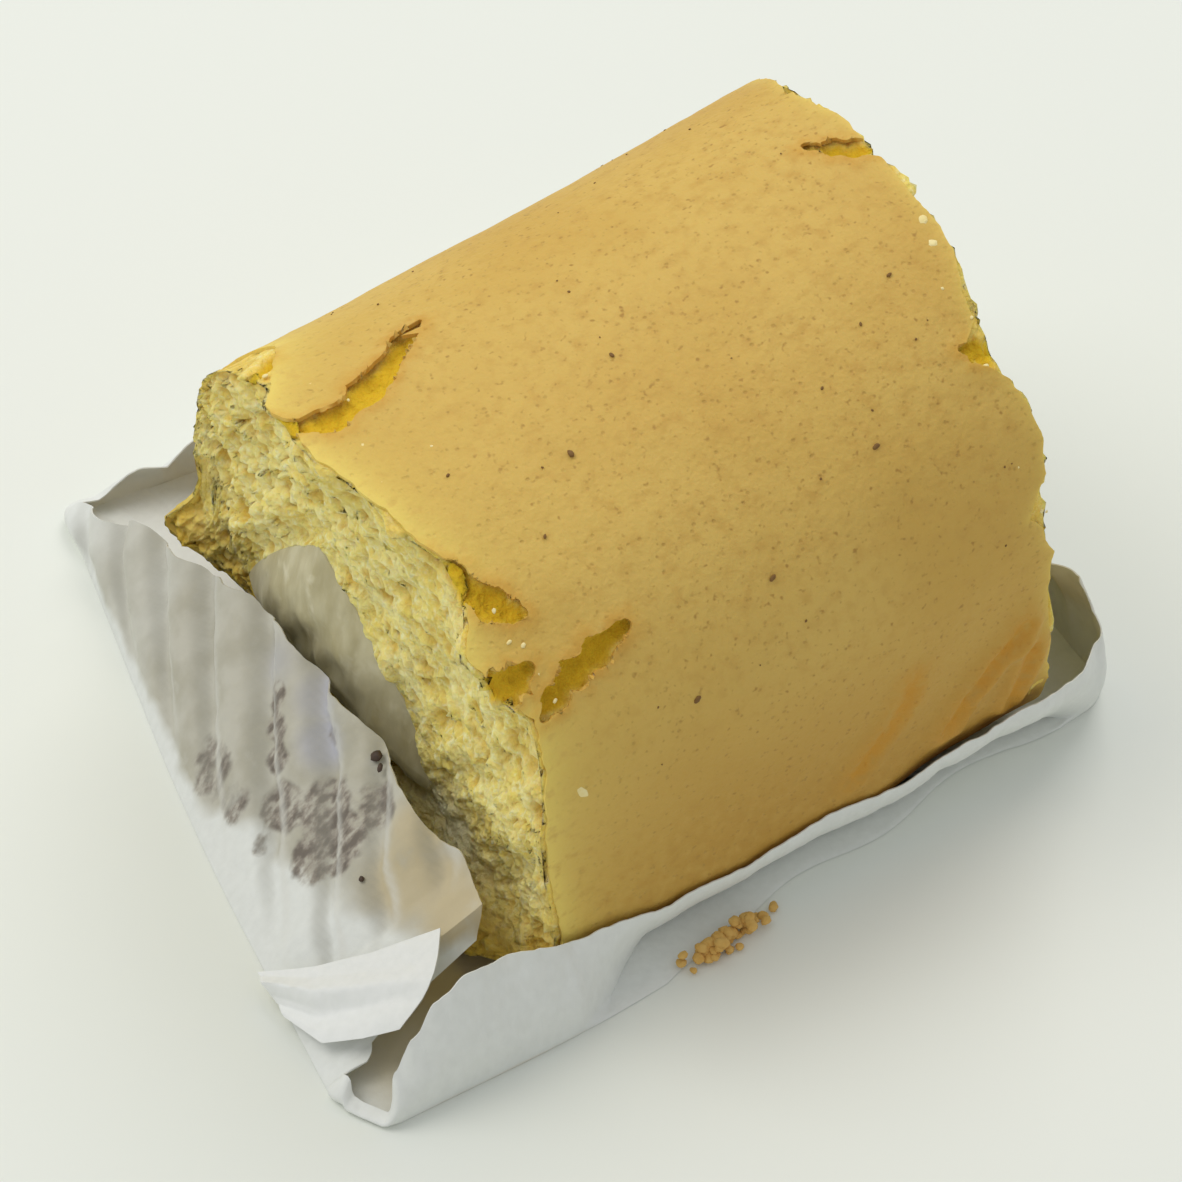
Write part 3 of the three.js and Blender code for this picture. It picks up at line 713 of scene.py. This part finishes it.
start_shape = places_of(case)
walk = (np.arctan2(start_shape[:, 1], start_shape[:, 0]) / (2 * np.pi) % 1) * walked[-1]
climb = start_shape[:, 2] / mm / wall_steps
inset = 1 - np.hypot(start_shape[:, 0], start_shape[:, 1]) / start_radius
on, ahead, behind = (
    np.stack([np.interp((walk + step) % walked[-1], walked, outline[:, n]) for n in (0, 1)], axis=-1)
    for step in (0, 0.3, -0.3)
)
tangent = (ahead - behind) / np.linalg.norm(ahead - behind, axis=1)[:, None]
inwards = np.stack([-tangent[:, 1], tangent[:, 0]], axis=-1)
corner_place = np.interp(walk, corner_walk, range(len(corner_walk)))
station = np.searchsorted(wall_stations[:, 0], corner_place, side="right") - 1
station = np.clip(station, 0, len(wall_stations) - 2)
last, following = wall_stations[station], wall_stations[station + 1]
ease = np.clip((corner_place - last[:, 0]) / (following[:, 0] - last[:, 0]), 0, 1)
ease = (ease * ease * (3 - 2 * ease))[:, None]
rise, lean, pleating = mix(last[:, 1:], following[:, 1:], ease).T
# Each pleat is a round flute that stands out, with a sharp valley on either side.
lobe = np.abs(np.sin(walk / walked[-1] * pleats * np.pi))
pleat = -pleat_depth * pleating * (lobe - 0.6) * np.minimum(1, 0.2 + climb) * (climb > 0)
at_front = ramped(corner_place, 1.1, 0.12, 1.99, 0.08)
bow = 0.9 * np.sin(np.pi * climb) * (1 - 0.9 * at_front)
# Where the near wall leans over the cut its pleats are dragged slantwise, and lap like shingles.
plain_wall = on + inwards * (lean * climb - bow)[:, None]
slant = rise * climb - 0.5 * plain_wall[:, 1]
course = np.interp(slant, [-24, -17, -11, -5.4, 0.2, 6.9, 12.3, 16.5, 20.6, 25, 31], range(11))
lapped = np.sqrt(np.sin(np.pi * (course % 1) ** 0.85) ** 2 + 0.05) - 0.12
dragged = ramped(corner_place, 4.08, 0.12, 5.86, 0.08)
drag_depth = 1.7 * np.minimum(1, climb * 1.8)
drag_depth *= np.interp(corner_place, [4.2, 5.2, 5.5, 5.8], [1, 1, 0.7, 0.4])
lobe = mix(lobe, lapped, dragged)
pleat = mix(pleat, -drag_depth * (lapped - 0.6), dragged)
pleating = mix(pleating, 1.7, dragged)
along_wall = np.stack([walk, climb * rise * 0.6, np.zeros_like(walk)], axis=-1)
crease = 0.3 * rough(along_wall * (1, 0.35, 1), 5.0, 3) + 0.12 * rough(along_wall, 1.6, 3)
offset = lean * climb - bow + pleat + crease * np.minimum(1, 3 * climb) * np.minimum(1, rise / 6)
# The foot of the front wall is drawn in between two wide pleats.
drawn_in = ramped(corner_place, 1.24, 0.1, 1.95, 0.08)
offset += drawn_in * (1 - 0.6 * climb) * (0.7 + 0.65 * (1 + np.cos(2 * np.pi * (corner_place - 1.49) / 0.29)))
scallop = scallop_rise * pleating * lobe + 0.25 * rough(along_wall * (1, 0, 0), 4, 3)
up = rise * climb + scallop * climb ** 4 * np.minimum(1, rise / 3)
wall = np.concatenate([on + inwards * offset[:, None], (sheet_thickness / 2 + 0.02 + up)[:, None]], axis=1)
wall[:, 2] = np.maximum(wall[:, 2], 0.1)
# The front wall leans on the roll: its rim lies against the skin.
for _ in range(4):
    share_there = wall[:, 0] / slice_length + 0.5
    tall = mix(near_cut["height"], far_cut["height"], np.clip(share_there, 0, 1) ** swell_power)
    under = np.clip(1 - (wall[:, 2] - cake_lift) / (waist_share * tall), 0, 0.99)
    skin_front = -0.5 * mix(near_cut["width"], far_cut["width"], share_there)
    skin_front *= (1 - under ** base_power) ** (1 / base_power)
    skin_front -= belly["outward"] * bump(wall[:, 2], 6.2, 3.5)
    shift = 0.5 * at_front * climb ** 1.2 * (skin_front - 0.45 - wall[:, 1])
    wall += shift[:, None] * (0.67, 1, -1.2)
wall[:, 2] = np.maximum(wall[:, 2], 0.1)
centre = outline[:-1].mean(axis=0)
floor = mix(wall, np.array([*centre, 0.1]), inset[:, None])
floor[:, 2] = sheet_thickness / 2 + 0.02
paper = np.where((climb > 0)[:, None], wall, floor)
lowest, highest = (np.array(corner)[:2] / mm - roll_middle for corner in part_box("paper_case"))
paper[:, :2] = np.clip(paper[:, :2], lowest + 0.1, highest - 0.1)
put_places(case, paper)
face_outwards(case)


def blots(places, marks):
    """How strongly each place is marked, from the places, reaches and strengths of round marks."""
    total = np.zeros(len(places))
    for middle, reach, strength in marks:
        apart = np.linalg.norm(places - middle, axis=1)
        total = np.maximum(total, strength * np.clip(1.9 * np.exp(-((apart / reach) ** 2)) - 0.3, 0, 1))
    return total


dry_below = np.interp(paper[:, 1], [-20.7, -16.6, -10.9, -3.6, -0.3, 6.3], [8.6, 7.7, 6.3, 5.1, 5.0, 1.4])
soaked = np.clip((paper[:, 2] - dry_below + 0.8 * rough(paper, 2.5, 2)) / 1.2 + 0.5, 0, 1)
near_wall = paper[:, 0] < -20
on_wall = climb > 0
# On the dragged pleats light and shade are painted in: a lit line beside each fold, and a band of painted
# shade on its other side.
beside_fold = (course + 0.5) % 1 - 0.5
painted_fold_light_and_shade = 0.8 * bump(beside_fold, 0.14, 0.15) - 0.8 * bump(beside_fold, -0.16, 0.18)
keep_values(case, {
    "damp": blots(paper, damp_places) * np.where(near_wall, soaked, 1) * on_wall,
    "smeared": blots(paper, smear_places) * on_wall,
    "creamy": blots(paper, cream_places) * np.where(near_wall & on_wall, soaked, 1),
    "cool": blots(paper, cool_places) * on_wall,
    "fold": painted_fold_light_and_shade * dragged * on_wall * np.minimum(1, climb * 3),
})
thickened(case, sheet_thickness, 0)
bpy.ops.object.shade_smooth_by_angle(angle=math.radians(60))

case_paper, shader, place = new_finish("white greaseproof paper", 0.6)
blot = grain(case_paper, place, 4.0, 5)
streak = grain(case_paper, place, 2.0, 4, (1, 1, 2.5))
fibre = grain(case_paper, place, 0.8, 4, (1, 1, 2))
rubbed = grain(case_paper, place, 1.1, 5, (1, 0.7, 2.2))
damp = times(case_paper, drawn_value(case_paper, "damp"), between(case_paper, blot, 0.08, 0.36))
damp_colour = layered(
    case_paper, linear((180, 176, 158)), [(between(case_paper, blot, 0.35, 0.65), (196, 193, 178))]
)
creamy = times(case_paper, drawn_value(case_paper, "creamy"), between(case_paper, blot, 0.15, 0.45))
# The smears have hard, streaky edges: only where the stain and the streaks are strong together.
smeared = drawn_value(case_paper, "smeared")
soiled = node_of(case_paper, "ShaderNodeMath", {"operation": "ADD"}, _0=smeared, _1=streak).outputs[0]
soiling = times(case_paper, between(case_paper, soiled, 0.86, 1.24), between(case_paper, rubbed, 0.72, 0.5))
stain_colour = layered(
    case_paper, linear((112, 103, 92)), [(between(case_paper, rubbed, 0.36, 0.62), (162, 153, 140))]
)
# Painted light and shade on the lapped pleats: lit_fold is the painted lit line, shaded_fold the painted
# shade.
fold = drawn_value(case_paper, "fold")
lit_fold = times(case_paper, between(case_paper, fold, 0.05, 0.9), 0.6)
shaded_fold = times(case_paper, between(case_paper, times(case_paper, fold, -1.0), 0.1, 0.9), 0.45)
coloured(case_paper, shader, layered(case_paper, linear((222, 224, 217)), (
    (fibre, (236, 238, 232)),
    (damp, damp_colour),
    (drawn_value(case_paper, "cool"), (182, 182, 188)),
    (creamy, (200, 184, 144)),
    (soiling, stain_colour),
    (lit_fold, (222, 221, 212)),
    (shaded_fold, (140, 138, 124)),
)))
raised(case_paper, shader, fibre, 0.05)
case.data.materials.append(case_paper)
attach(case, "root")
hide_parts("paper_case")

# ---------------------------------------------------------------------------------------------------------
# The folded end of the case.
# Where the near wall was pulled open at its front, its last pleat is folded back over it as a dry white
# flap, creased along its top and free along its other edges.
# ---------------------------------------------------------------------------------------------------------
flap_top = np.array([(-44.9, -11.9, 1.4), (-41.2, -15.3, 3.6), (-37.2, -18.0, 5.9), (-32.1, -20.7, 8.8)])
flap_foot = np.array([(-45.3, -17.0, 1.3), (-44.2, -21.4, 2.0), (-41.6, -23.8, 3.6), (-39.0, -25.5, 5.0)])
flap_bulge = 0.35
flat_size = 0.02
bpy.ops.object.select_all(action="DESELECT")
bpy.ops.mesh.primitive_grid_add(x_subdivisions=56, y_subdivisions=32, size=flat_size)
flap = bpy.context.object
flap.name = "folded_case_end"
sheet = places_of(flap) / flat_size + 0.5
top_edge, foot_edge = (
    np.stack([np.interp(sheet[:, 0], [0, 0.33, 0.66, 1], side[:, n]) for n in range(3)], axis=-1)
    for side in (flap_top, flap_foot)
)
flap_places = mix(top_edge, foot_edge, sheet[:, 1:2])
flap_out = np.array([-0.487, 0.022, 0.873])  # square to the leaning wall that it lies on
puff = flap_bulge * np.sin(np.pi * sheet[:, 1]) ** 0.8 * (0.35 + 0.65 * sheet[:, 0])
# Two creases run along the flap from the fold's far end, one raised and one pressed in.
for line, fall, height in ((0.3, 0.2, 0.9), (0.68, -0.1, -0.5)):
    crease_line = np.abs(sheet[:, 1] - line - fall * sheet[:, 0])
    puff += height * np.clip(1 - crease_line / 0.2, 0, 1) * np.clip(1.2 - sheet[:, 0], 0, 1)
puff += 0.1 * rough(flap_places, 3.0, 3) + 0.3
round_corner = np.clip(sheet[:, 0] * 3 - 2, 0, 1) * np.sin(np.pi * sheet[:, 1])
flap_places += flap_out * puff[:, None] + np.array([0.6, -1.1, 0.4]) * round_corner[:, None]
flap_places += np.array([-0.9, -1.3, 1.6]) * (sheet[:, 0:1] ** 0.8 * (1 - 0.5 * sheet[:, 1:2]))
flap_places[:, 0] = np.maximum(flap_places[:, 0], lowest[0] + 0.15)
put_places(flap, flap_places)
thickened(flap, sheet_thickness, 0)
face_outwards(flap)
bpy.ops.object.shade_smooth_by_angle(angle=math.radians(60))
dry_paper, shader, place = new_finish("dry white paper", 0.62)
fibre = grain(dry_paper, place, 0.8, 4, (1, 1, 2))
coloured(dry_paper, shader, layered(dry_paper, linear((230, 232, 227)), [(fibre, (243, 244, 240))]))
raised(dry_paper, shader, fibre, 0.05)
flap.data.materials.append(dry_paper)
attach(flap, "root")

# ---------------------------------------------------------------------------------------------------------
# Crumbs and seeds.
# Crumbs that fell as the roll was cut lie on its skin, at its foot and beside the case. Dark specks of
# banana seed stick to the wet paper, and a few burnt sugar specks to the skin.
# ---------------------------------------------------------------------------------------------------------
draw = random.Random(29)


def on_skin(along, girth, up=0.0):
    """A place on the skin, raised by so many millimetres, and the way out of the skin there."""
    share = along / slice_length
    middle = skin_point(share, girth)
    round_way = skin_point(share, girth + 0.5) - skin_point(share, girth - 0.5)
    long_way = skin_point(share + 0.01, girth) - skin_point(share - 0.01, girth)
    out = np.cross(round_way, long_way)
    out /= np.linalg.norm(out)
    return middle + out * up, out


def scattered(name, spots, finish):
    """One piece from lumps at the spots: each its place, way up, size, and stretch along and across."""
    lumps = []
    for number, (spot, out, size, stretch) in enumerate(spots):
        bpy.ops.object.select_all(action="DESELECT")
        bpy.ops.mesh.primitive_ico_sphere_add(subdivisions=2, radius=1.0)
        lump = bpy.context.object
        shape = places_of(lump)
        shape *= 1 + 0.3 * rough(shape + number * 3.7, 0.9, 2)[:, None]
        turn = Matrix.Rotation(draw.uniform(0, 6.28), 3, "Z")
        stand = Vector(out).to_track_quat("Z", "Y").to_matrix() @ turn
        shape = shape * (size * stretch, size / stretch ** 0.5, size * 0.6)
        shape = shape @ np.array(stand.transposed()) + np.array(spot)
        shape[:, 2] = np.clip(shape[:, 2], 0.02, skin_top)
        put_places(lump, shape)
        lumps.append(lump)
    for lump in lumps:
        lump.select_set(True)
    bpy.context.view_layer.objects.active = lumps[0]
    bpy.ops.object.join()
    joined = bpy.context.object
    joined.name = name
    bpy.ops.object.shade_smooth()
    joined.data.materials.append(finish)
    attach(joined, "root")


def speckled(name, roughness, size, detail, first, second, relief=0.0):
    """A finish with cloudy grain of two colours, and fine relief of a depth in millimetres."""
    finish, shader, place = new_finish(name, roughness)
    cloud = grain(finish, place, size, detail)
    coloured(finish, shader, layered(finish, linear(first), [(cloud, second)]))
    if relief:
        raised(finish, shader, grain(finish, place, 0.3, 2), relief)
    return finish


up_way = np.array([0.0, 0.0, 1.0])
pale_spots = [(*on_skin(3.8, 10.9, 0.3), 0.75, 1.6), (*on_skin(46.4, 33.6, 0.25), 0.5, 1.5)]
pale_spots += [(*on_skin(51.0, 72.8, 0.25), 0.5, 1.2), (*on_skin(51.4, 77.4, 0.2), 0.45, 1.1)]
for _ in range(16):
    along = abs(draw.gauss(0, 2.4)) + 0.6
    girth = draw.uniform(5, 128)
    size = draw.uniform(0.12, 0.28)
    pale_spots.append((*on_skin(along, girth, size * 0.3), size, draw.uniform(1, 1.4)))
for _ in range(8):
    girth = draw.uniform(5, 74)
    size = draw.uniform(0.12, 0.24)
    along = 51.2 - abs(draw.gauss(0, 1.2))
    pale_spots.append((*on_skin(along, girth, size * 0.3), size, draw.uniform(1, 1.4)))
golden_spots = []
for _ in range(34):
    size = draw.uniform(0.2, 0.55)
    spot = (draw.gauss(-31.5, 2.6), draw.gauss(-25.0, 1.5), 0.2 + size * 0.4)
    if spot[1] > -28.2:
        golden_spots.append((spot, up_way, size, draw.uniform(1, 1.5)))
for _ in range(80):
    size = draw.uniform(0.25, 0.6)
    place_along = draw.gauss(-9.5, 2.2)
    beside = -28.7 + 0.115 * (place_along + 10)
    spot = (place_along, beside - abs(draw.gauss(0, 0.8)), size * draw.uniform(0.6, 3.4))
    if spot[1] - size > -30.8:
        golden_spots.append((spot, up_way, size, draw.uniform(1, 1.3)))
crumb_dust = speckled("pale crumb dust", 0.9, 0.8, 3, (238, 214, 130), (250, 240, 190), 0.1)
golden_crumbs = speckled("golden crumbs", 0.85, 0.9, 3, (206, 152, 62), (232, 196, 116), 0.1)
dark_speck = speckled("dark seed specks", 0.6, 0.4, 2, (46, 34, 26), (84, 62, 44))
burnt_speck = speckled("burnt sugar specks", 0.7, 0.4, 2, (104, 72, 30), (140, 102, 44))
speck_spots = [
    ((-29.6, -5.9, 14.1), (-0.6, 0, 0.8), 0.5, 1.1), ((-35.5, -13.2, 9.3), (-0.49, 0, 0.87), 0.26, 1.0),
    ((-29.9, -7.0, 13.9), (-0.6, 0, 0.8), 0.3, 1.3),
]
burnt_spots = []
for along, girth, size in (
    (14.8, 72.8, 0.27), (22.9, 84.8, 0.2), (24.6, 33.6, 0.24), (15.3, 17.7, 0.27), (37.8, 45.8, 0.24),
    (46.2, 71.8, 0.18), (36, 60.3, 0.13), (5.4, 80, 0.15), (8.8, 61.7, 0.15), (41.8, 66.7, 0.14),
):
    burnt_spots.append((*on_skin(along, girth, -0.45 * size), size, 1.4))
for _ in range(36):
    size = draw.uniform(0.06, 0.12)
    burnt_spots.append((*on_skin(draw.uniform(3, 49), draw.uniform(5, 175), -0.4 * size), size, 1.2))
scattered("pale_crumbs", pale_spots, crumb_dust)
scattered("golden_crumbs", golden_spots, golden_crumbs)
scattered("seed_specks", speck_spots, dark_speck)
scattered("burnt_sugar_specks", burnt_spots, burnt_speck)

# ---------------------------------------------------------------------------------------------------------
# The table, light and camera.
# A plain pale matt floor under soft studio light from above and behind, so that the front of the roll is in
# shade, and a camera that looks down on the slice as the photograph does.
# ---------------------------------------------------------------------------------------------------------
bpy.ops.object.select_all(action="DESELECT")
bpy.ops.mesh.primitive_plane_add(size=3.0, location=(0, 0, 0))
table = bpy.context.object
table.name = "pale_floor"
pale, shader, place = new_finish("pale matt floor", 0.6)
shader.inputs["Base Color"].default_value = linear((234, 237, 228))
table.data.materials.append(pale)

world = bpy.data.worlds.new("soft room light")
world.use_nodes = True
world.node_tree.nodes["Background"].inputs["Color"].default_value = linear((240, 242, 246))
world.node_tree.nodes["Background"].inputs["Strength"].default_value = 0.6
bpy.context.scene.world = world
for name, power, size, place in (
    ("left softbox", 2.1, 0.45, (-0.34, 0.26, 0.66)),
    ("right softbox", 1.9, 0.5, (0.42, 0.3, 0.66)),
):
    lamp_data = bpy.data.lights.new(name, "AREA")
    lamp_data.size = size
    lamp_data.energy = power
    lamp_data.color = (1.0, 0.98, 0.94)
    lamp = bpy.data.objects.new(name, lamp_data)
    lamp.location = place
    lamp.rotation_euler = (Vector((0, 0, 0.02)) - lamp.location).to_track_quat("-Z", "Y").to_euler()
    bpy.context.scene.collection.objects.link(lamp)

photo_width, photo_focal = 1182, 1480.24  # in pixels
photo_right = Vector((0.83896, -0.54387, 0.01914))
photo_up = Vector((0.37769, 0.60723, 0.69902))
photo_forward = Vector((0.39179, 0.57921, -0.71485))
slice_across, slice_down = 575, 660  # the middle of the slice in the photograph, in pixels
shown_width = 372
forward = (
    photo_forward
    + photo_right * (slice_across - photo_width / 2) / photo_focal
    - photo_up * (slice_down - photo_width / 2) / photo_focal
).normalized()
right = forward.cross(photo_up).normalized()
camera_up = right.cross(forward)
camera_data = bpy.data.cameras.new("camera")
camera_data.lens = camera_data.sensor_width * photo_focal / shown_width
camera = bpy.data.objects.new("camera", camera_data)
turned = Matrix((right, camera_up, -forward)).transposed().to_4x4()
camera.matrix_world = Matrix.Translation((-0.149155, -0.232962, 0.3183)) @ turned
bpy.context.scene.collection.objects.link(camera)
bpy.context.scene.camera = camera
bpy.context.scene.view_settings.view_transform = "Standard"
